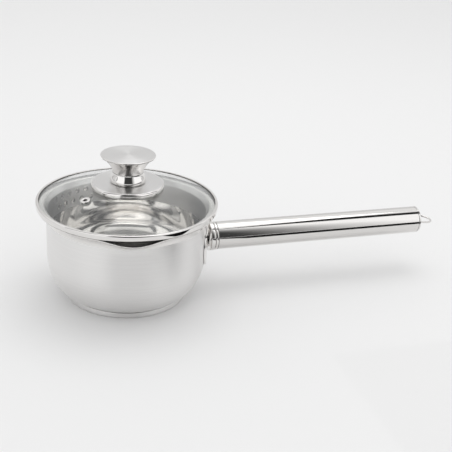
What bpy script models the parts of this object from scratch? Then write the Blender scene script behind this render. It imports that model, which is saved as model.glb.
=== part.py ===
"""Saucepan with pouring lips, a tubular handle and a straining glass lid.

The pan's axis is Z, its underside is z = 0 and its handle points along +X.
Sizes below are millimetres and degrees; meshes are made in metres.
"""
import math

import bmesh
import bpy
import numpy as np
from mathutils import Matrix, Vector

MM = 0.001

# Clearances
GAP = 0.3              # between pieces that touch or are welded together
BORE_GAP = 0.6         # round the knob's screw
SKIRT_GAP = 0.6        # between the lid's skirt and the pan's inner wall

# Vessel: one drawn shell with a flared, polished lip
BODY_R = 78.8          # outer radius of the wall
WALL = 0.8             # sheet thickness
WALL_TOP = 83.0        # height at which the flare starts
CORNER_W = 27.0        # width of the elliptical corner between floor and wall
CORNER_H = 42.4        # height of that corner
FLARE_OUT = 8.6        # how far the lip stands out from the wall
FLARE_UP = 10.2        # how far the lip stands above the wall's top
SPOUT_ANGLE = 97.5     # from the handle round to each pouring lip, which face each other
SPOUT_HALF = 24.0      # half the angle that a pouring lip spans
SPOUT_OUT = 4.5        # how far a pouring lip is pressed outwards
SPOUT_DROP = 3.2       # and downwards
SPOUT_ROOT = 5.0       # how far below the flare the pressing starts

# Base: an aluminium core in a steel cap
BASE_R = 60.2
BASE_SHEET = 0.6
BASE_CORNER = 2.0
CORE_T = 3.2

# Handle: measured along its own axis from the wall's outer face
HANDLE_Z = 53.7        # height of the axis at the wall
HANDLE_TILT = 0.4      # rise of the axis towards its end
FLANGE_HALF_W = 38.0
FLANGE_HALF_H = 20.0
FLANGE_DROP = 0.5      # the flange's centre lies this far below the axis
FLANGE_SQUARE = 3.2    # power of its outline: 2 is an ellipse, more is squarer
FLANGE_EDGE = 1.2      # thickness of its edge
FLANGE_RISE = 5.2      # its seat for the collar, from the wall
FLANGE_HOLE_R = 9.0
COLLAR_R = 15.0
COLLAR_L = 4.6
STUB_R = 11.0          # the spigot's stub, which passes through the collar
SHOULDER_R = 14.5
SHOULDER_L = 2.9
RING_ROUND = 0.8       # radius of the collar's and the shoulder's edges
SPIGOT_L = 20.0
SPIGOT_WALL = 1.6
TUBE_R = 14.3
TUBE_END_R = 14.1      # the tube is drawn slightly slimmer towards its end
TUBE_WALL = 1.0
TUBE_L = 225.0
CAP_RIM = 2.2          # the end cap's edge
CAP_ROUND = 2.2        # radius of its edge
CAP_DOME = 1.4         # the rise of its outer face
CAP_SPIGOT_L = 6.0
LOOP_WIRE = 2.2
LOOP_HALF_W = 9.0
LOOP_LEG = 6.4
LOOP_DROOP = 6.5       # how far the loop points below the handle's axis

# Lid ring: one strip, rolled round the glass, with a straining skirt
RING_SHEET = 0.6
RIM_OVERHANG = 1.4     # the rim's outer face beyond the pan's lip
RIM_HEIGHT = 5.9       # from the seat on the pan's lip to the rim's top
RIM_LIP = 2.4          # the turned-in top edge that holds the glass
RING_BEND = 1.2        # radius of its bends
CONE_OUT = 3.2         # from the skirt out to where the shelf starts
CONE_DROP = 6.2        # from the shelf under the glass down to the skirt
SKIRT_H = 20.0
STRAINER_ANGLE = 124.4 # from the handle round to the coarse holes, lid as set down
COARSE_R = 2.8
COARSE_COUNT = 6
COARSE_STEP = 8.1
FINE_R = 1.6
FINE_COUNT = 9
FINE_STEP = 5.0
ROW_TOP = 4.4          # from the skirt's top down to the first row of holes
ROW_STEP = 9.2         # between the rows

# Glass
GLASS_T = 3.5
GLASS_RISE = 17.0      # from its edge to its crown
EDGE_SLOPE = 0.45      # the glass's fall near its edge, which the rim's lip has to clear
GLASS_EDGE_GAP = 0.7   # between its edge and the rim's outer wall
GLASS_HOLE_R = 3.9
VENT_R = 50.0          # from the lid's axis to the steam vent
VENT_FROM_STRAINER = 82.0
VENT_HOLE_R = 3.3

# Steam vent
EYELET_BORE_R = 1.9
EYELET_WALL = 0.8
EYELET_FLANGE_R = 4.9
EYELET_FLANGE_H = 1.0
EYELET_TAIL_R = 4.1
EYELET_ROUND = 0.7     # radius of its flange's edge
VENT_WASHER_R = 5.0
VENT_WASHER_T = 0.6

# Knob
PLATE_R = 35.6
PLATE_SHOULDER = 2.4   # radius of its rounded edge
PLATE_TAPER = 0.4      # below that its edge leans in by this much
PLATE_SHEET = 0.8
PLATE_TOP = 3.0        # its top above the crown of the glass
COLLAR_BASE_R = 16.6
COLLAR_BULGE_R = 17.4
COLLAR_TOP_R = 15.2
COLLAR_H = 10.2
WAIST_R = 15.2
NECK_H = 15.0
NECK_TOP_R = 25.0
NECK_CURVE = 1.7       # power of the neck's widening: more keeps the waist longer
KNOB_SHEET = 1.0
TOP_R = 26.9
TOP_EDGE = 1.6
TOP_DOME = 0.6
KNOB_ROUND = 0.7       # radius of the top's edge
BOSS_T = 2.0           # solid end of the boss that the screw stops short of
BOSS_R = 5.0
SCREW_R = 2.5
SCREW_L = 24.0
SCREW_HEAD_R = 5.0
SCREW_HEAD_H = 2.6
SCREW_HEAD_ROUND = 1.6 # radius of the head's edge
SCREW_POINT = 0.6      # bevel at its tip
GASKET_R = 11.0
LOWER_GASKET_T = 1.2
WASHER_R = 9.0
WASHER_T = 1.0

# Facets round a full turn
FINE_STEPS = 64
MID_STEPS = 40
SMALL_STEPS = 24
TINY_STEPS = 16

# Heights and radii that follow from the sizes above
UNDERSIDE = BASE_SHEET + GAP + CORE_T + GAP
LIP_R = BODY_R + FLARE_OUT
FLARE_TURN = 2.0 * math.atan2(FLARE_OUT, FLARE_UP)
FLARE_R = FLARE_UP / math.sin(FLARE_TURN)
LIP_TOP = WALL_TOP + (FLARE_R + WALL) * math.sin(FLARE_TURN)
SEAT_Z = LIP_TOP + GAP
RIM_R = LIP_R + RIM_OVERHANG
RIM_TOP = SEAT_Z + RIM_HEIGHT
SKIRT_R = BODY_R - WALL - SKIRT_GAP
SHELF_Z = SEAT_Z + RING_SHEET
SKIRT_TOP = SHELF_Z - CONE_DROP
GLASS_R = RIM_R - RING_SHEET - GLASS_EDGE_GAP
GLASS_EDGE_Z = RIM_TOP - RING_SHEET - GAP - EDGE_SLOPE * (GLASS_R - RIM_R + RIM_LIP)
CROWN_Z = GLASS_EDGE_Z + GLASS_RISE
GLASS_SPHERE = (GLASS_R ** 2 + GLASS_RISE ** 2) / (2.0 * GLASS_RISE)
PLATE_Z = CROWN_Z + PLATE_TOP
COLLAR_Z = PLATE_Z + GAP
NECK_Z = COLLAR_Z + COLLAR_H + GAP
TOP_Z = NECK_Z + NECK_H + GAP
GASKET_Z = CROWN_Z - GLASS_T - GAP
WASHER_Z = GASKET_Z - LOWER_GASKET_T - GAP
HEAD_Z = WASHER_Z - WASHER_T - GAP
SCREW_BORE_R = SCREW_R + BORE_GAP
COLLAR_S = FLANGE_RISE + GAP
SHOULDER_S = COLLAR_S + COLLAR_L + GAP
TUBE_S = SHOULDER_S + SHOULDER_L + GAP
CAP_S = TUBE_S + TUBE_L + GAP
SPIGOT_R = TUBE_END_R - TUBE_WALL - GAP
CORE_R = BASE_R - BASE_SHEET - GAP


def clear_scene():
    """Remove every object, so that the script starts from an empty scene."""
    for old in list(bpy.data.objects):
        bpy.data.objects.remove(old, do_unlink=True)


def new_collection(name):
    made = bpy.data.collections.new(name)
    bpy.context.scene.collection.children.link(made)
    return made


def finish_material(name, colour, metallic, roughness, transmission=0.0):
    """A Principled BSDF with one colour, for one finish."""
    made = bpy.data.materials.new(name)
    made.use_nodes = True
    shader = made.node_tree.nodes["Principled BSDF"]
    shader.inputs["Base Color"].default_value = (*colour, 1.0)
    shader.inputs["Metallic"].default_value = metallic
    shader.inputs["Roughness"].default_value = roughness
    shader.inputs["Transmission Weight"].default_value = transmission
    made.diffuse_color = (*colour, 1.0)
    return made


def add_object(name, mesh, material, collection):
    made = bpy.data.objects.new(name, mesh)
    mesh.name = name
    mesh.materials.clear()
    if material is not None:
        mesh.materials.append(material)
    collection.objects.link(made)
    return made


def arc(centre, radii, start, end, count):
    """Points along an ellipse's arc, both ends included, angles in degrees from +r."""
    angles = np.radians(np.linspace(start, end, count))
    return [(centre[0] + radii[0] * math.cos(a), centre[1] + radii[1] * math.sin(a)) for a in angles]


def section_mesh(name, points, closed):
    """A polyline of (radius, height) points in the XZ plane."""
    mesh = bpy.data.meshes.new(name)
    verts = [(r * MM, 0.0, z * MM) for r, z in points]
    edges = [(i, i + 1) for i in range(len(points) - 1)]
    if closed:
        edges.append((len(points) - 1, 0))
    mesh.from_pydata(verts, edges, [])
    return mesh


def turned(name, points, material, collection, steps, closed=True, sheet=0.0):
    """A section turned about Z; with a sheet thickness, the section is its middle line."""
    made = add_object(name, section_mesh(name, points, closed), material, collection)
    screw = made.modifiers.new("Turn", "SCREW")
    screw.axis = "Z"
    screw.angle = math.tau
    screw.steps = steps
    screw.render_steps = steps
    screw.use_merge_vertices = True
    screw.merge_threshold = 0.000001
    screw.use_smooth_shade = True
    if sheet:
        shell = made.modifiers.new("Sheet", "SOLIDIFY")
        shell.thickness = sheet * MM
        shell.offset = 0.0
        shell.use_even_offset = True
    return made


def as_mesh(made):
    """Replace an object by its evaluated mesh, its modifiers or curve settled."""
    name = made.name
    material = made.data.materials[0] if made.data.materials else None
    collection = made.users_collection[0]
    bpy.context.view_layer.update()
    settled = bpy.data.meshes.new_from_object(made.evaluated_get(bpy.context.evaluated_depsgraph_get()))
    place = made.matrix_world.copy()
    bpy.data.objects.remove(made, do_unlink=True)
    work = bmesh.new()
    work.from_mesh(settled)
    bmesh.ops.remove_doubles(work, verts=work.verts, dist=0.000001)
    work.to_mesh(settled)
    work.free()
    result = add_object(name, settled, material, collection)
    result.matrix_world = place
    return result


def cut(target, cutter):
    """Take the cutter's shape out of the target."""
    boolean = target.modifiers.new("Cut", "BOOLEAN")
    boolean.operation = "DIFFERENCE"
    boolean.solver = "EXACT"
    boolean.object = cutter
    cutter.hide_render = True
    cutter.display_type = "WIRE"


def rods(name, radius, length, places, collection, sides=10):
    """Plain cylinders, one for each placing matrix, in one object."""
    work = bmesh.new()
    for place in places:
        bmesh.ops.create_cone(
            work, cap_ends=True, segments=sides, radius1=radius * MM, radius2=radius * MM,
            depth=length * MM, matrix=place)
    mesh = bpy.data.meshes.new(name)
    work.to_mesh(mesh)
    work.free()
    return add_object(name, mesh, None, collection)


def glass_top(radius):
    """Height of the glass's upper face at a radius."""
    return CROWN_Z - GLASS_SPHERE + math.sqrt(GLASS_SPHERE ** 2 - radius ** 2)


def glass_low(radius):
    """Height just under the glass's lower face at a radius, with a gap."""
    under = GLASS_SPHERE - GLASS_T
    return CROWN_Z - GLASS_SPHERE + math.sqrt(under ** 2 - radius ** 2) - GAP


def corner_underside(radius):
    """Height of the vessel's outer face where its floor turns up into its wall."""
    across = (radius - BODY_R + CORNER_W) / CORNER_W
    return UNDERSIDE + CORNER_H * (1.0 - math.sqrt(1.0 - max(across, 0.0) ** 2))


# ---------------------------------------------------------------- pan

def vessel_section():
    """Inner floor, inner wall and flare, lip, outer flare, outer wall, underside."""
    corner = (BODY_R - CORNER_W, UNDERSIDE + CORNER_H)
    flare = (BODY_R + FLARE_R, WALL_TOP)
    turn = math.degrees(FLARE_TURN)
    inner = [(0.0, UNDERSIDE + WALL)]
    inner += arc(corner, (CORNER_W - WALL, CORNER_H - WALL), -90.0, 0.0, 7)
    inner += arc(flare, (FLARE_R + WALL, FLARE_R + WALL), 180.0, 180.0 - turn, 6)
    outer = arc(flare, (FLARE_R, FLARE_R), 180.0 - turn, 180.0, 6)
    outer += arc(corner, (CORNER_W, CORNER_H), 0.0, -90.0, 7)
    outer += [(0.0, UNDERSIDE)]
    lip = Vector((math.cos(math.pi - FLARE_TURN), math.sin(math.pi - FLARE_TURN)))
    ahead = Vector((lip.y, -lip.x))
    middle = Vector(flare) + lip * (FLARE_R + WALL / 2.0) + ahead * (WALL / 2.0)
    return inner + [tuple(middle)] + outer


def press_spouts(mesh):
    """Press the lip outwards and down at the two pouring lips, most at their middles."""
    root = WALL_TOP - SPOUT_ROOT
    for vert in mesh.vertices:
        height = vert.co.z / MM
        rise = (height - root) / (LIP_TOP - root)
        if rise <= 0.0:
            continue
        angle = math.degrees(math.atan2(vert.co.y, vert.co.x))
        for middle in (-SPOUT_ANGLE, 180.0 - SPOUT_ANGLE):
            away = abs((angle - middle + 180.0) % 360.0 - 180.0)
            if away >= SPOUT_HALF:
                continue
            share = math.cos(math.pi / 2.0 * away / SPOUT_HALF) ** 2 * rise ** 1.2
            radius = math.hypot(vert.co.x, vert.co.y)
            grow = 1.0 + SPOUT_OUT * share * MM / radius
            vert.co.x *= grow
            vert.co.y *= grow
            vert.co.z -= SPOUT_DROP * share * MM


def make_vessel(parts, steel):
    """The drawn shell, with its two pouring lips."""
    drawn = turned("vessel", vessel_section(), steel, parts, FINE_STEPS, closed=False)
    vessel = as_mesh(drawn)
    press_spouts(vessel.data)


def make_base(parts, aluminium, steel):
    """The heat-spreading core, and the steel cap pressed over it."""
    core = [(0.0, BASE_SHEET + GAP + CORE_T), (CORE_R, BASE_SHEET + GAP + CORE_T),
            (CORE_R, BASE_SHEET + GAP + BASE_CORNER), (CORE_R - BASE_CORNER, BASE_SHEET + GAP),
            (0.0, BASE_SHEET + GAP)]
    turned("base_core", core, aluminium, parts, MID_STEPS, closed=False)
    inside = BASE_R - BASE_SHEET
    rim_z = corner_underside(inside) - GAP
    middle = (BASE_R - BASE_CORNER, BASE_CORNER)
    cap = [(0.0, BASE_SHEET)]
    cap += arc(middle, (BASE_CORNER - BASE_SHEET, BASE_CORNER - BASE_SHEET), -90.0, 0.0, 4)
    cap += [(inside, rim_z), (BASE_R, rim_z)]
    cap += arc(middle, (BASE_CORNER, BASE_CORNER), 0.0, -90.0, 4)
    cap += [(0.0, 0.0)]
    turned("base_cap", cap, steel, parts, MID_STEPS, closed=False)


# ---------------------------------------------------------------- handle

def handle_point(along, side, up):
    """A point given along the handle's axis, beside it and above it."""
    tilt = math.radians(HANDLE_TILT)
    return Vector((BODY_R + along * math.cos(tilt) - up * math.sin(tilt), side,
                   HANDLE_Z + along * math.sin(tilt) + up * math.cos(tilt)))


def on_wall(side, height):
    """The point on the wall's outer face, with a gap, at a side distance and height."""
    return Vector((math.sqrt((BODY_R + GAP) ** 2 - side ** 2), side, height))


def flange_rings(count):
    """Closed rings round the flange, from its edge to its seat, in, and back along the wall."""
    angles = np.linspace(0.0, math.tau, count, endpoint=False)
    centre_z = HANDLE_Z - FLANGE_DROP
    edge = []
    for a in angles:
        spread = abs(math.cos(a)) ** FLANGE_SQUARE + abs(math.sin(a)) ** FLANGE_SQUARE
        reach = spread ** (-1.0 / FLANGE_SQUARE)
        side = FLANGE_HALF_W * math.cos(a) * reach
        edge.append(on_wall(side, centre_z + FLANGE_HALF_H * math.sin(a) * reach))
    proud = [p + Vector((FLANGE_EDGE, 0.0, 0.0)) for p in edge]
    seat = [handle_point(FLANGE_RISE, COLLAR_R * math.cos(a), COLLAR_R * math.sin(a)) for a in angles]
    bore = [handle_point(FLANGE_RISE, FLANGE_HOLE_R * math.cos(a), FLANGE_HOLE_R * math.sin(a))
            for a in angles]
    root = [on_wall(p.y, p.z) for p in bore]
    rings = [edge, proud]
    for share in (0.25, 0.5, 0.75):
        rings.append([Vector((p.x + (q.x - p.x) * share ** 1.25, p.y + (q.y - p.y) * share,
                              p.z + (q.z - p.z) * share)) for p, q in zip(proud, seat)])
    rings += [seat, bore, root]
    for share in (0.25, 0.5, 0.75):
        rings.append([on_wall(p.y + (q.y - p.y) * share, p.z + (q.z - p.z) * share)
                      for p, q in zip(root, edge)])
    return rings


def make_flange(parts, steel):
    """The oval flange, lofted from its edge on the round wall to the collar's round seat."""
    count = 32
    rings = flange_rings(count)
    work = bmesh.new()
    loops = [[work.verts.new(point * MM) for point in ring] for ring in rings]
    for here, there in zip(loops, loops[1:] + loops[:1]):
        for i in range(count):
            j = (i + 1) % count
            work.faces.new((here[i], here[j], there[j], there[i]))
    bmesh.ops.recalc_face_normals(work, faces=work.faces)
    mesh = bpy.data.meshes.new("handle_flange")
    work.to_mesh(mesh)
    work.free()
    made = add_object("handle_flange", mesh, steel, parts)
    mesh.shade_smooth()
    mesh.set_sharp_from_angle(angle=math.radians(35.0))
    return made


def make_handle(parts, steel, satin):
    """Collar, spigot, tube and end cap, turned on the handle's own tilted axis."""
    frame = bpy.data.objects.new("handle_axis", None)
    parts.objects.link(frame)
    frame.location = (BODY_R * MM, 0.0, HANDLE_Z * MM)
    frame.rotation_euler = (0.0, -math.radians(HANDLE_TILT), 0.0)
    far = TUBE_S + SPIGOT_L
    end = CAP_S + CAP_RIM
    dome_r = TUBE_END_R - CAP_ROUND
    collar = [(STUB_R + GAP, COLLAR_S), (STUB_R + GAP, COLLAR_S + COLLAR_L)]
    collar += arc((COLLAR_R - RING_ROUND, COLLAR_S + COLLAR_L - RING_ROUND), (RING_ROUND, RING_ROUND),
                  90.0, 0.0, 4)
    collar += arc((COLLAR_R - RING_ROUND, COLLAR_S + RING_ROUND), (RING_ROUND, RING_ROUND), 0.0, -90.0, 4)
    spigot = [(0.0, SHOULDER_S + SPIGOT_WALL), (SPIGOT_R - SPIGOT_WALL, SHOULDER_S + SPIGOT_WALL),
              (SPIGOT_R - SPIGOT_WALL, far), (SPIGOT_R, far), (SPIGOT_R, SHOULDER_S + SHOULDER_L)]
    spigot += arc((SHOULDER_R - RING_ROUND, SHOULDER_S + SHOULDER_L - RING_ROUND), (RING_ROUND, RING_ROUND),
                  90.0, 0.0, 4)
    spigot += [(SHOULDER_R, SHOULDER_S), (STUB_R, SHOULDER_S), (STUB_R, COLLAR_S), (0.0, COLLAR_S)]
    tube = [(TUBE_END_R, TUBE_S + TUBE_L), (TUBE_R, TUBE_S), (TUBE_R - TUBE_WALL, TUBE_S),
            (TUBE_END_R - TUBE_WALL, TUBE_S + TUBE_L)]
    cap = [(0.0, end + CAP_DOME), (dome_r * 0.5, end + CAP_DOME * 0.75), (dome_r, end)]
    cap += arc((dome_r, end - CAP_ROUND), (CAP_ROUND, CAP_ROUND), 67.5, 0.0, 4)
    cap += [(TUBE_END_R, CAP_S), (SPIGOT_R, CAP_S), (SPIGOT_R, CAP_S - CAP_SPIGOT_L),
            (SPIGOT_R - SPIGOT_WALL, CAP_S - CAP_SPIGOT_L), (SPIGOT_R - SPIGOT_WALL, CAP_S),
            (0.0, CAP_S)]
    pieces = (("handle_collar", collar, steel, True), ("handle_spigot", spigot, steel, False),
              ("handle_tube", tube, satin, True), ("handle_end_cap", cap, satin, False))
    for name, points, finish, closed in pieces:
        made = turned(name, points, finish, parts, SMALL_STEPS, closed=closed)
        made.parent = frame
        made.rotation_euler = (0.0, math.pi / 2.0, 0.0)
    return frame


def make_loop(parts, steel, frame):
    """The fixed wire loop that the pan hangs by, welded to the end cap."""
    start = CAP_S + CAP_RIM + CAP_DOME * 0.5 + LOOP_WIRE / 2.0 + GAP
    bend = np.radians(np.linspace(90.0, -90.0, 13))
    path = [(0.0, LOOP_HALF_W)]
    path += [(LOOP_LEG + LOOP_HALF_W * math.cos(a), LOOP_HALF_W * math.sin(a)) for a in bend]
    path += [(0.0, -LOOP_HALF_W)]
    curve = bpy.data.curves.new("hanging_loop", "CURVE")
    curve.dimensions = "3D"
    curve.bevel_depth = LOOP_WIRE / 2.0 * MM
    curve.bevel_resolution = 2
    curve.use_fill_caps = True
    spline = curve.splines.new("POLY")
    spline.points.add(len(path) - 1)
    for point, (along, side) in zip(spline.points, path):
        point.co = (along * MM, side * MM, 0.0, 1.0)
    made = bpy.data.objects.new("hanging_loop", curve)
    curve.materials.append(steel)
    parts.objects.link(made)
    made.parent = frame
    made.location = (start * MM, 0.0, 0.0)
    made.rotation_euler = (0.0, math.radians(LOOP_DROOP), 0.0)
    loop = as_mesh(made)
    loop.data.shade_smooth()


# ---------------------------------------------------------------- lid

def ring_section():
    """Middle line of the rolled strip, from its edge over the glass to the skirt's foot."""
    half = RING_SHEET / 2.0
    outer = RIM_R - half
    top = RIM_TOP - half
    shelf = SHELF_Z - half
    skirt = SKIRT_R - half
    points = [(RIM_R - RIM_LIP, top)]
    points += arc((outer - RING_BEND, top - RING_BEND), (RING_BEND, RING_BEND), 90.0, 0.0, 4)
    points += arc((outer - RING_BEND, shelf + RING_BEND), (RING_BEND, RING_BEND), 0.0, -90.0, 4)
    points += arc((skirt + CONE_OUT, shelf - RING_BEND), (RING_BEND, RING_BEND), 90.0, 150.0, 3)
    points += [(skirt + RING_BEND * 0.4, SKIRT_TOP + RING_BEND), (skirt, SKIRT_TOP),
               (skirt, SKIRT_TOP - SKIRT_H)]
    return points


def hole_rows(angle, count, step):
    """Turned places of two staggered rows of holes, centred on an angle of the skirt."""
    for row in (0, 1):
        height = SKIRT_TOP - ROW_TOP - row * ROW_STEP
        held = count - row
        for i in range(held):
            at = angle + (i - (held - 1) / 2.0) * step
            turn = Matrix.Rotation(math.radians(at), 4, "Z")
            reach = Matrix.Translation((SKIRT_R * MM, 0.0, height * MM))
            yield turn @ reach @ Matrix.Rotation(math.pi / 2.0, 4, "Y")


def make_ring(parts, cutters, steel):
    """The rolled ring, its skirt pierced by coarse holes on one side and fine ones opposite."""
    strip = turned("lid_ring", ring_section(), steel, parts, FINE_STEPS, closed=False, sheet=RING_SHEET)
    ring = as_mesh(strip)
    reach = 8.0 * RING_SHEET
    coarse = rods("coarse_holes", COARSE_R, reach, hole_rows(STRAINER_ANGLE, COARSE_COUNT, COARSE_STEP),
                  cutters)
    fine = rods("fine_holes", FINE_R, reach, hole_rows(STRAINER_ANGLE + 180.0, FINE_COUNT, FINE_STEP),
                cutters, sides=6)
    cut(ring, coarse)
    cut(ring, fine)


def vent_place():
    """Matrix that puts the vent's axis square to the glass, its zero on the glass's upper face."""
    turn = Matrix.Rotation(math.radians(STRAINER_ANGLE + VENT_FROM_STRAINER), 4, "Z")
    lean = Matrix.Rotation(math.asin(VENT_R / GLASS_SPHERE), 4, "Y")
    return turn @ Matrix.Translation((VENT_R * MM, 0.0, glass_top(VENT_R) * MM)) @ lean


def make_glass(parts, cutters, glass):
    """The domed pane, with a hole for the knob's screw and one for the vent."""
    under = GLASS_SPHERE - GLASS_T
    centre = CROWN_Z - GLASS_SPHERE
    radii = np.linspace(GLASS_HOLE_R, GLASS_R, 7)
    upper = [(r, centre + math.sqrt(GLASS_SPHERE ** 2 - r ** 2)) for r in radii]
    lower = [(r, centre + math.sqrt(under ** 2 - r ** 2)) for r in radii[::-1]]
    pane = as_mesh(turned("lid_glass", upper + lower, glass, parts, FINE_STEPS))
    hole = rods("vent_hole", VENT_HOLE_R, 6.0 * GLASS_T, [vent_place()], cutters, sides=TINY_STEPS)
    cut(pane, hole)


def make_vent(parts, steel, silicone):
    """The eyelet, its tail rolled over a soft washer under the glass."""
    shank = EYELET_BORE_R + EYELET_WALL
    base = GAP
    seat = -GLASS_T - GAP
    tail = seat - VENT_WASHER_T - GAP
    eyelet = [(EYELET_BORE_R, tail - EYELET_WALL * 1.2), (EYELET_BORE_R, EYELET_FLANGE_H * 0.5)]
    rim = EYELET_FLANGE_R - EYELET_ROUND
    eyelet += [(EYELET_BORE_R + 0.5, EYELET_FLANGE_H), (rim - 0.2, base + EYELET_FLANGE_H)]
    eyelet += arc((rim, base + 0.6), (EYELET_ROUND, 0.6), 60.0, -60.0, 4)
    eyelet += [(rim, base), (shank, base), (shank, tail), (EYELET_TAIL_R, tail),
               (EYELET_TAIL_R, tail - EYELET_WALL * 0.6), (EYELET_TAIL_R - 0.5, tail - EYELET_WALL * 1.2)]
    washer = [(shank + GAP, seat - VENT_WASHER_T), (shank + GAP, seat), (VENT_WASHER_R, seat),
              (VENT_WASHER_R, seat - VENT_WASHER_T)]
    for name, points, finish in (("vent_eyelet", eyelet, steel), ("vent_washer", washer, silicone)):
        made = turned(name, points, finish, parts, TINY_STEPS)
        made.matrix_world = vent_place()


def make_knob(parts, steel, satin, silicone):
    """Plate, collar, neck, top and boss above the glass; gaskets, washer and screw through it."""
    bore = SCREW_BORE_R
    foot_r = PLATE_R - PLATE_TAPER
    foot_z = glass_top(foot_r) + GAP
    sheet = KNOB_SHEET
    edge = (PLATE_R - PLATE_SHOULDER, PLATE_Z - PLATE_SHOULDER)
    inner = PLATE_SHOULDER - PLATE_SHEET
    plate = [(bore, PLATE_Z - PLATE_SHEET), (bore, PLATE_Z)]
    plate += arc(edge, (PLATE_SHOULDER, PLATE_SHOULDER), 90.0, 0.0, 5)
    plate += [(foot_r, foot_z), (foot_r - PLATE_SHEET, foot_z)]
    plate += arc(edge, (inner, inner), 0.0, 90.0, 4)
    top_z = COLLAR_Z + COLLAR_H
    collar = [(COLLAR_TOP_R - sheet, top_z), (COLLAR_TOP_R, top_z)]
    collar += [(COLLAR_TOP_R + 0.5, COLLAR_Z + COLLAR_H * 0.68)]
    collar += [(COLLAR_TOP_R + 1.4, COLLAR_Z + COLLAR_H * 0.4)]
    collar += [(COLLAR_BULGE_R, COLLAR_Z + COLLAR_H * 0.18), (COLLAR_BASE_R, COLLAR_Z)]
    collar += [(COLLAR_BASE_R - sheet, COLLAR_Z), (COLLAR_BULGE_R - sheet, COLLAR_Z + COLLAR_H * 0.18),
               (COLLAR_TOP_R + 0.4 - sheet, COLLAR_Z + COLLAR_H * 0.5)]
    shares = np.linspace(1.0, 0.0, 9)
    bell = [(WAIST_R + (NECK_TOP_R - WAIST_R) * t ** NECK_CURVE, NECK_Z + NECK_H * t) for t in shares]
    neck = bell + [(r - sheet, z) for r, z in bell[::-1]]
    rise = TOP_Z + TOP_EDGE
    cap = [(0.0, rise + TOP_DOME), (TOP_R * 0.55, rise + TOP_DOME * 0.7), (TOP_R - KNOB_ROUND, rise)]
    cap += arc((TOP_R - KNOB_ROUND, rise - KNOB_ROUND), (KNOB_ROUND, KNOB_ROUND), 60.0, 0.0, 3)
    cap += [(TOP_R - KNOB_ROUND, TOP_Z), (0.0, TOP_Z)]
    boss_low = NECK_Z - COLLAR_H * 0.5
    boss_high = TOP_Z - GAP
    boss = [(0.0, boss_high), (BOSS_R, boss_high), (BOSS_R, boss_low), (bore, boss_low),
            (bore, boss_high - BOSS_T), (0.0, boss_high - BOSS_T)]
    upper = [(bore, CROWN_Z + GAP), (bore, PLATE_Z - PLATE_SHEET - GAP),
             (GASKET_R, PLATE_Z - PLATE_SHEET - GAP), (GASKET_R, CROWN_Z + GAP)]
    lower = [(bore, GASKET_Z - LOWER_GASKET_T), (bore, GASKET_Z), (GASKET_R, glass_low(GASKET_R)),
             (GASKET_R, GASKET_Z - LOWER_GASKET_T)]
    washer = [(bore, WASHER_Z - WASHER_T), (bore, WASHER_Z), (WASHER_R, WASHER_Z),
              (WASHER_R, WASHER_Z - WASHER_T)]
    tip = HEAD_Z + SCREW_L
    screw = [(0.0, tip), (SCREW_R - SCREW_POINT, tip), (SCREW_R, tip - SCREW_POINT), (SCREW_R, HEAD_Z),
             (SCREW_HEAD_R, HEAD_Z)]
    head = (SCREW_HEAD_R - SCREW_HEAD_ROUND, HEAD_Z - SCREW_HEAD_H + SCREW_HEAD_ROUND)
    screw += arc(head, (SCREW_HEAD_ROUND, SCREW_HEAD_ROUND), 0.0, -90.0, 4)
    screw += [(0.0, HEAD_Z - SCREW_HEAD_H)]
    turned("knob_plate", plate, satin, parts, MID_STEPS)
    turned("knob_collar", collar, steel, parts, SMALL_STEPS)
    turned("knob_neck", neck, steel, parts, SMALL_STEPS)
    turned("knob_top", cap, satin, parts, MID_STEPS, closed=False)
    turned("knob_boss", boss, steel, parts, TINY_STEPS, closed=False)
    turned("knob_gasket_upper", upper, silicone, parts, TINY_STEPS)
    turned("knob_gasket_lower", lower, silicone, parts, TINY_STEPS)
    turned("knob_washer", washer, steel, parts, TINY_STEPS)
    turned("knob_screw", screw, steel, parts, TINY_STEPS, closed=False)


def main():
    clear_scene()
    parts = new_collection("saucepan_with_glass_lid")
    cutters = new_collection("cutters")
    mirror = finish_material("mirror_polished_steel", (0.62, 0.62, 0.62), 1.0, 0.06)
    brushed = finish_material("brushed_steel", (0.55, 0.55, 0.55), 1.0, 0.3)
    aluminium = finish_material("aluminium", (0.7, 0.71, 0.72), 1.0, 0.4)
    glass = finish_material("tempered_glass", (0.92, 0.96, 0.95), 0.0, 0.02, transmission=1.0)
    silicone = finish_material("silicone", (0.75, 0.75, 0.75), 0.0, 0.6)
    make_vessel(parts, brushed)
    make_base(parts, aluminium, brushed)
    make_flange(parts, mirror)
    frame = make_handle(parts, mirror, brushed)
    make_loop(parts, mirror, frame)
    make_ring(parts, cutters, mirror)
    make_glass(parts, cutters, glass)
    make_vent(parts, mirror, silicone)
    make_knob(parts, mirror, brushed, silicone)


main()
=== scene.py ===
"""Looks for a saucepan with a straining glass lid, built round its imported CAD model.

Each visible CAD node is stood for by a finer surface of the same place and size.
"""
import math

import bmesh
import bpy
import numpy as np
from mathutils import Matrix, Vector


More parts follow.
